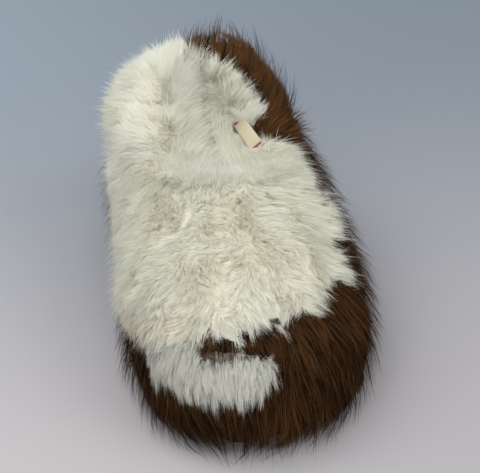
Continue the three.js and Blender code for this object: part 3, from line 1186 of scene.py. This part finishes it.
@dataclass
class FurPanel:
    """One panel of fur: an undercoat in place of its solid, and the hair that grows through it.

    Attributes:
        node: The solid that the fur stands for or grows on.
        coat: Its hair.
        slot: The finish slot of its pieces; not used.
        wool: Finish of the undercoat, or None for hair alone.
        sink: How far the undercoat lies under the skin, in metres.
        voxel: Size of the undercoat's facets, in metres.
        rounds: How often the undercoat is smoothed.
        kind: What grows.
        rim: Width of the border that it grows on, in metres.
        zone: Two corners of the box that it grows in.
        made: The pieces made.
    """

    node: str
    coat: Coat
    slot: str
    wool: NapFinish | None = None
    sink: float = 5 * MM
    voxel: float = 4 * MM
    rounds: int = 6
    kind: Growth = Growth.HAIR
    rim: float = math.inf
    zone: tuple[Place, Place] = ((-math.inf,) * 3, (math.inf,) * 3)
    made: list[bpy.types.Object] = field(default_factory=list)

    def undercoat(self, skin: OuterSkin, material: bpy.types.Material) -> None:
        """Build the woolly body under the hair, a little smaller than the solid.

        Args:
            skin: The skin of the whole slipper.
            material: Its material.
        """
        solid = frame["nodes"][self.node].data.copy()
        body = softened(self.node + "_undercoat", solid, self.voxel, self.rounds)
        vertices = mesh_arrays(body.data)[0]
        lumps = wander(vertices, LUMP_WAVE, Drift.LUMPS, self.coat.seed)[:, :1]
        places, outward, facets = skin.nearest(vertices)
        above = np.sum((vertices - places) * outward, axis=1, keepdims=True)
        sink = self.sink + BORDER_SINK * ~skin.kin(self.node)[facets][:, None]
        vertices -= outward * np.clip(above + sink + lumps * LUMP_HEIGHT, 0, DEEPEST_SINK)
        body.data.vertices.foreach_set("co", vertices.astype(np.float32).ravel())
        body.data.update()
        body.data.materials.clear()
        body.data.materials.append(material)
        for polygon in body.data.polygons:
            polygon.use_smooth = True
        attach(body, BODY)
        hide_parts(self.node)
        self.made.append(body)

    def hair(self, skin: OuterSkin, groups: Groups) -> None:
        """Grow the panel's hair.

        Args:
            skin: The skin of the whole slipper.
            groups: The shared node groups.
        """
        open_air = skin.facing[:, 2] > OPEN_AIR
        low, high = np.array(self.zone)
        in_zone = np.all((skin.centres > low) & (skin.centres < high), axis=1)
        wanted = np.nonzero((skin.owners == skin.names.index(self.node)) & open_air & in_zone)[0]
        wanted = wanted[skin.to_border(self.node, skin.centres[wanted]) < self.rim]
        comb = Comb(skin, self.coat, self.node, wanted)
        points, normals, tones, lock = comb.strands()
        order = np.argsort(lock, kind="stable")
        material = self.coat.finish.material(groups)
        ribbons = StrandMesh(self.coat.width, self.coat.crisp, comb.random)
        for number, part in enumerate(np.array_split(order, self.coat.pieces), start=1):
            name = f"{self.node}_{self.kind.value}_{number}"
            hair = linked(name, ribbons.build(name, points[part], normals[part], tones[part]))
            hair.data.materials.append(material)
            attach(hair, BODY)
            self.made.append(hair)

    def build(self, skin: OuterSkin, groups: Groups) -> list[bpy.types.Object]:
        """Build the undercoat and the hair.

        Args:
            skin: The skin of the whole slipper.
            groups: The shared node groups.

        Returns:
            The pieces made.
        """
        if self.wool:
            self.undercoat(skin, self.wool.material(groups))
        self.hair(skin, groups)
        return self.made


@dataclass
class MouthTuft:
    """Long hair from the collar's inner slope whose tips close the opening and leave a soft dimple.

    Attributes:
        finish: The hair's finish.
        strands: How many hairs.
        around: How far from the mouth's middle the tips are looked for.
        cell: Size of the grid's cells.
        slope: How squarely skin has to face the mouth to lie under the sheet.
        sag: How strongly the sheet sags.
        past: How far tips run on past their places.
        rounds: Rounds of settling for the sheet.
        off: How far roots lie under the skin.
        below: How far down hairs near the label are rooted.
        rise: How far under its tip a hair turns.
        lean: How far towards its root it turns.
        proud: How far tips stand off the sheet.
        uneven: How much lower some tips stay.
        swing: How much that differs from place to place.
        tousle: How far locks turn aside.
        tousle_wave: Size of those turns.
        spread: How far single tips stray.
        frizz: Small bends.
        width: Width of a hair.
        crisp: How much single hairs show in the shading.
        tone_swing: How much the tone differs from place to place.
        streaks: How much it differs from hair to hair.
        sections: Points along a hair.
        seed: Seed of its random numbers.
    """

    finish: HairFinish
    strands: int = 24000
    around: float = 88 * MM
    cell: float = 2 * MM
    slope: float = 0.1
    sag: float = 14.0
    past: float = 6 * MM
    rounds: int = 2500
    off: float = 3 * MM
    below: float = 35 * MM
    rise: float = 14 * MM
    lean: float = 0.15
    proud: float = 4 * MM
    uneven: float = 4 * MM
    swing: float = 0.8
    tousle: float = 6 * MM
    tousle_wave: float = 10 * MM
    spread: float = 2 * MM
    frizz: float = 1.2 * MM
    width: float = 0.36 * MM
    crisp: float = 0.06
    tone_swing: float = 0.4
    streaks: float = 0.25
    sections: int = 4
    seed: int = 71

    def sheet(self, skin: OuterSkin) -> tuple[np.ndarray, np.ndarray, np.ndarray]:
        """Stretch a sagging sheet over the opening, from rim to rim.

        Args:
            skin: The skin of the whole slipper.

        Returns:
            On a grid: the places in plan, the heights there, and whether the sheet lies there.
        """
        count = round(self.around / self.cell)
        steps = np.arange(-count, count + 1) * self.cell
        plan = np.stack(np.meshgrid(steps, steps, indexing="ij"), axis=-1) + skin.mouth[:2]
        top = float(skin.vertices[:, 2].max()) + self.cell
        down = Vector((0, 0, -1))
        hits = [skin.tree.ray_cast(Vector((*place, top)), down) for place in plan.reshape(-1, 2)]
        missed = np.array([hit[0] is None for hit in hits])
        places = np.array([(0, 0, 0) if hit[0] is None else hit[0] for hit in hits], float)
        facets = np.array([0 if hit[2] is None else hit[2] for hit in hits])
        leans_in = skin.inside(places, skin.facing[facets]) > self.slope
        falls_in = skin.kin("collar_fur")[facets] & leans_in
        inside = np.isin(skin.owners[facets], [skin.names.index(node) for node in ("upper", "insole")])
        gap = ((falls_in | inside) & ~missed).reshape(plan.shape[:2])
        rim = places[:, 2].reshape(gap.shape)
        height = np.where(gap, skin.mouth[2], rim)
        for _ in range(self.rounds):
            shifted = [np.roll(height, way, axis) for way in (-1, 1) for axis in (0, 1)]
            height = np.where(gap, (sum(shifted) - self.sag * self.cell**2) / 4, rim)
        return plan, height, gap

    def tips(self, skin: OuterSkin, random: np.random.Generator) -> tuple[np.ndarray, np.ndarray]:
        """Scatter the tips over the sheet.

        Args:
            skin: The skin of the whole slipper.
            random: The source of chance.

        Returns:
            The tips, and the sheet's normals there.
        """
        plan, height, gap = self.sheet(skin)
        row, column = np.argwhere(gap)[random.integers(0, gap.sum(), self.strands)].T
        lean = np.stack(np.gradient(height, self.cell), axis=-1)[row, column]
        shift = random.uniform(-0.5, 0.5, lean.shape) * self.cell
        level = height[row, column] + np.sum(lean * shift, axis=1)
        tips = np.column_stack([plan[row, column] + shift, level])
        return tips, unit(np.column_stack([-lean, np.ones(self.strands)]))

    def rooted(
        self,
        skin: OuterSkin,
        tips: np.ndarray,
        normals: np.ndarray,
        below: float,
        random: np.random.Generator,
    ) -> np.ndarray:
        """Lead hairs from the slope beside the opening up to their tips.

        Args:
            skin: The skin of the whole slipper.
            tips: The tips on the sheet.
            normals: The sheet's normals there.
            below: How far under the tips the slope is looked for, in metres.
            random: The source of chance.

        Returns:
            The hairs' points, from root to tip.
        """
        slope, slope_normals, _ = skin.nearest(tips - np.array((0, 0, below)))
        roots = slope - slope_normals * self.off
        bend = wander(tips, self.tousle_wave, Drift.TOUSLE) * self.tousle
        height = self.proud * (1 + self.swing * wander(tips, LIFT_WAVE, Drift.LIFT)[:, :1])
        height = height - self.uneven * random.beta(*CHANCE.sink, (len(tips), 1))
        onward = across(unit(tips - roots), normals) * self.past * random.uniform(0, 1, (len(tips), 1))
        ends = tips + normals * height + bend + onward + random.normal(0, self.spread, tips.shape)
        turns = tips - normals * self.rise + (roots - tips) * self.lean + bend
        share = np.linspace(0, 1, self.sections)[None, :, None]
        points = roots[:, None] * (1 - share) ** 2 + turns[:, None] * 2 * share * (1 - share)
        points = points + ends[:, None] * share**2
        return points + random.normal(0, 1, points.shape) * self.frizz * share

    def build(self, skin: OuterSkin, groups: Groups) -> list[bpy.types.Object]:
        """Grow the tuft.

        Args:
            skin: The skin of the whole slipper.
            groups: The shared node groups.

        Returns:
            The piece made.
        """
        random = np.random.default_rng(self.seed)
        tips, normals = self.tips(skin, random)
        points = self.rooted(skin, tips, normals, 0.0, random)
        over = skin.hides_label(points)
        points[over] = self.rooted(skin, tips[over], normals[over], self.below, random)
        kept = ~skin.hides_label(points)
        tone = 0.5 + self.tone_swing * wander(tips, TONE_WAVE, Drift.TONE)[:, 0]
        tone = tone + random.uniform(-self.streaks, self.streaks, self.strands)
        ribbons = StrandMesh(self.width, self.crisp, random)
        mesh = ribbons.build("mouth_tuft", points[kept], normals[kept], np.clip(tone, 0, 1)[kept])
        tuft = linked("mouth_tuft", mesh)
        mesh.materials.append(self.finish.material(groups))
        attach(tuft, BODY)
        return [tuft]


@dataclass
class Footing:
    """The pieces that keep their solids: sole, insole, pelt and label."""

    outsole: NapFinish = SOLE_SUEDE
    insole: NapFinish = INSOLE_FELT
    upper: NapFinish = PELT_SKIN

    def tape(self) -> TapeFinish:
        """Lay the label's tape along its longest axis.

        Returns:
            The label's finish.
        """
        places = mesh_arrays(frame["nodes"]["side_label"].data)[0]
        axis = np.linalg.svd(places - places.mean(axis=0))[2][0]
        along = places @ axis
        return TapeFinish(tuple(map(float, axis)), (float(along.min()), float(along.max())))

    def dress(self, groups: Groups) -> list[bpy.types.Object]:
        """Give each piece its finish.

        Args:
            groups: The shared node groups.

        Returns:
            The pieces dressed.
        """
        finishes = {
            "outsole": self.outsole, "insole": self.insole, "upper": self.upper, "side_label": self.tape(),
        }
        dressed = []
        for node, finish in finishes.items():
            piece = frame["nodes"][node]
            piece.data.materials.clear()
            piece.data.materials.append(finish.material(groups))
            dressed.append(piece)
        return dressed


@dataclass(frozen=True)
class Lamp:
    """A soft square lamp: where it hangs, its size in metres and its power in watts."""

    name: str
    place: Place
    size: float
    power: float


@dataclass
class Studio:
    """Floor, light and camera. Lengths are in metres and angles in degrees.

    Attributes:
        azimuth: The camera's turn round the slipper.
        elevation: Its height over the floor, as an angle.
        distance: How far it stands off.
        focal_px: Its focal length, in pixels of the picture.
        sensor_mm: Width of its sensor, in millimetres.
        clip_start: Where its sight begins.
        aim: What it looks at.
        floor_y: Where the floor begins and where it turns up.
        bend: Radius of the turn.
        bend_steps: Facets in the turn.
        wall: Height of the backdrop.
        half: Half the width of floor and backdrop.
        near: Colour of the floor in front.
        far: Colour behind the slipper.
        near_to_far: Where the one fades into the other.
        shade: Painted shade: what the colours are multiplied by at the right, as if the light came from the
            left.
        left_to_right: Where that painted shade fades in.
        paper: Roughness and specular level of the floor.
        lamps: The lamps.
        air: Colour of the glow all round.
        air_strength: Strength of that glow.
    """

    azimuth: float = -13.0
    elevation: float = 33.0
    distance: float = 0.9
    focal_px: float = 1450.0
    sensor_mm: float = 36.0
    clip_start: float = 0.01
    aim: Place = (0.0075, -0.0061, 0.0595)
    floor_y: Range = (-2.0, 2.2)
    bend: float = 0.6
    bend_steps: int = 16
    wall: float = 1.6
    half: float = 2.5
    near: Colour = (0.36, 0.335, 0.335)
    far: Colour = (0.215, 0.245, 0.275)
    near_to_far: Range = (-0.16, 0.36)
    shade: Colour = (0.77, 0.78, 0.79)
    left_to_right: Range = (-0.3, 0.3)
    paper: Range = (0.9, 0.1)
    lamps: tuple[Lamp, ...] = (
        Lamp("key", (-0.5, -1.2, 1.2), 1.4, 18.0),
        Lamp("fill", (1.0, -0.9, 1.2), 1.2, 12.0),
        Lamp("back", (-0.8, 0.4, 1.6), 1.2, 16.0),
    )
    air: Colour = (0.88, 0.93, 1.0)
    air_strength: float = 0.88

    def camera(self) -> None:
        """Place the camera at the photograph's angle."""
        turn, climb = math.radians(self.azimuth), math.radians(self.elevation)
        level = math.cos(climb)
        back = Vector((math.sin(turn) * level, -math.cos(turn) * level, math.sin(climb)))
        lens = bpy.data.cameras.new("camera")
        lens.sensor_width = self.sensor_mm
        lens.lens = self.focal_px * lens.sensor_width / IMAGE_WIDTH_PX
        lens.clip_start = self.clip_start
        camera = bpy.data.objects.new("camera", lens)
        camera.location = Vector(self.aim) + back * self.distance
        camera.rotation_euler = back.to_track_quat("Z", "Y").to_euler()
        bpy.context.scene.collection.objects.link(camera)
        bpy.context.scene.camera = camera

    def sweep(self) -> None:
        """Lay a pale floor that turns up into a cool grey backdrop, with painted shade towards the right."""
        front, depth = self.floor_y
        profile = [(front, 0.0), (depth, 0.0)]
        for step in range(1, self.bend_steps + 1):
            angle = step / self.bend_steps * math.pi / 2
            profile.append((depth + self.bend * math.sin(angle), self.bend * (1 - math.cos(angle))))
        profile.append((depth + self.bend, self.wall))
        vertices = [(side * self.half, y, z) for y, z in profile for side in (-1, 1)]
        faces = [(2 * k, 2 * k + 1, 2 * k + 3, 2 * k + 2) for k in range(len(profile) - 1)]
        mesh = bpy.data.meshes.new("studio_sweep")
        mesh.from_pydata(vertices, [], faces)
        for polygon in mesh.polygons:
            polygon.use_smooth = True
        material, shader = new_material("sweep_paper", *self.paper)
        tree = material.node_tree
        place = tree.nodes.new("ShaderNodeSeparateXYZ")
        tree.links.new(tree.nodes.new("ShaderNodeTexCoord").outputs["Object"], place.inputs[0])
        rise = ramp_node(tree, place.outputs["Y"], *self.near_to_far)
        colour = mix_node(tree, rise, self.near, self.far)
        # Painted shade: the floor and backdrop darken towards the right, as if the light came from the left.
        aside = ramp_node(tree, place.outputs["X"], *self.left_to_right)
        shaded = mix_node(tree, aside, colour, self.shade, "MULTIPLY")
        tree.links.new(shaded, shader.inputs["Base Color"])
        mesh.materials.append(material)
        linked("studio_sweep", mesh)

    def lights(self) -> None:
        """Set soft lamps over and beside the slipper, and an even glow all round."""
        for lamp in self.lamps:
            light = bpy.data.lights.new(lamp.name, "AREA")
            light.size = lamp.size
            light.energy = lamp.power
            hung = bpy.data.objects.new(lamp.name, light)
            hung.location = lamp.place
            off = Vector(lamp.place) - Vector(self.aim)
            hung.rotation_euler = off.to_track_quat("Z", "Y").to_euler()
            bpy.context.scene.collection.objects.link(hung)
        world = bpy.data.worlds.new("studio_air")
        world.use_nodes = True
        glow = world.node_tree.nodes["Background"]
        glow.inputs["Color"].default_value = (*self.air, 1.0)
        glow.inputs["Strength"].default_value = self.air_strength
        bpy.context.scene.world = world

    def build(self) -> None:
        """Set up the whole studio."""
        self.camera()
        self.sweep()
        self.lights()
        bpy.context.scene.view_settings.view_transform = "Standard"


def panels() -> list[FurPanel | MouthTuft]:
    """List the fur panels with their coats.

    Returns:
        The panels, from the wall up to the collar, and the tuft in the mouth.
    """
    # The brown coat is lighter towards the top: partly painted top light and sheen, partly lighter fur.
    brown = Coat(
        BROWN_HAIR, strands=60000, locks=3000, along=26 * MM, depth=8 * MM, proud=3 * MM, uneven=3 * MM,
        width=0.38 * MM, droop=0.3, gather=0.55, ragged=9 * MM, frizz=0.7 * MM, stray=0.6, seed=11,
        streaks=1.2, guard=0.13, guard_lift=11 * MM, crisp=0.35, overhang=9 * MM, swirl=18 * MM, stand=1.6,
        fade=0.8, mingle=2.5 * MM, pieces=2,
    )
    vamp = Coat(
        WHITE_HAIR, strands=66000, locks=1200, along=15 * MM, depth=10 * MM, proud=5 * MM, uneven=4 * MM,
        width=0.34 * MM, droop=0.3, gather=0.6, ragged=11 * MM, frizz=0.8 * MM, stray=1.4, seed=23,
        guard=0.08, guard_lift=7 * MM, crisp=0.06, overhang=7 * MM, fringe=24 * MM, swirl=16 * MM,
        mingle=1.5 * MM, pieces=2, sections=3,
    )
    collar = Coat(
        WHITE_HAIR, strands=64000, locks=1200, along=13 * MM, depth=10 * MM, proud=5 * MM, uneven=4 * MM,
        width=0.34 * MM, droop=0.1, gather=0.5, ragged=8 * MM, frizz=0.8 * MM, stray=1.3, seed=37,
        guard=0.08, guard_lift=7 * MM, inward=3 * MM, crisp=0.06, overhang=4 * MM, fringe=16 * MM,
        swirl=14 * MM, mingle=1.5 * MM, pieces=2, sections=3,
    )
    blaze = Coat(
        BLAZE_HAIR, strands=12000, locks=360, along=18 * MM, depth=6 * MM, proud=3 * MM, uneven=2 * MM,
        width=0.32 * MM, droop=0.6, gather=0.75, ragged=15 * MM, frizz=0.5 * MM, stray=0.5, seed=41,
        streaks=0.9, crisp=0.35, overhang=12 * MM, mingle=2 * MM,
    )
    wisps = Coat(
        FAWN_HAIR, strands=1000, locks=140, along=10 * MM, depth=6 * MM, proud=5 * MM, uneven=3 * MM,
        width=0.34 * MM, droop=0.5, gather=0.9, ragged=12 * MM, frizz=0.8 * MM, stray=1.2, seed=47,
        streaks=0.8, crisp=0.2, overhang=11 * MM, swirl=12 * MM,
    )
    lining = Coat(
        WHITE_HAIR, strands=9000, locks=700, along=8 * MM, depth=1 * MM, proud=9 * MM, uneven=4 * MM,
        width=0.8 * MM, droop=-0.5, gather=0.4, ragged=3 * MM, frizz=1.0 * MM, stray=0.6, seed=53,
        inward=6 * MM, overhang=20 * MM, sections=3,
    )
    return [
        FurPanel("side_fur", brown, "brown_fur", BROWN_WOOL),
        FurPanel("toe_blaze_fur", blaze, "white_fur", SHADED_WHITE_WOOL, sink=8 * MM),
        FurPanel("vamp_fur", vamp, "white_fur", SHADED_WHITE_WOOL, sink=3 * MM),
        FurPanel("vamp_fur", wisps, "white_fur", kind=Growth.WISPS, rim=14 * MM, zone=WISP_ZONE),
        FurPanel("collar_fur", collar, "white_fur", SHADED_WHITE_WOOL, sink=3 * MM),
        FurPanel("upper", lining, "white_fur"),
        MouthTuft(WHITE_HAIR),
    ]


def main() -> None:
    """Build the studio and dress the slipper piece by piece."""
    logging.basicConfig(level=logging.INFO, format="%(name)s: %(message)s")
    noise.seed_set(NOISE_SEED)
    Studio().build()
    groups = Groups()
    for piece in Footing().dress(groups):
        LOG.info("dressed %s", piece.name)
    skin = OuterSkin(voxel=3.2 * MM, rounds=5, reach=9 * MM)
    LOG.info("skin of %d facets", len(skin.triangles))
    for panel in panels():
        for piece in panel.build(skin, groups):
            LOG.info("built %s with %d faces", piece.name, len(piece.data.polygons))


if __name__ == "__main__":
    main()
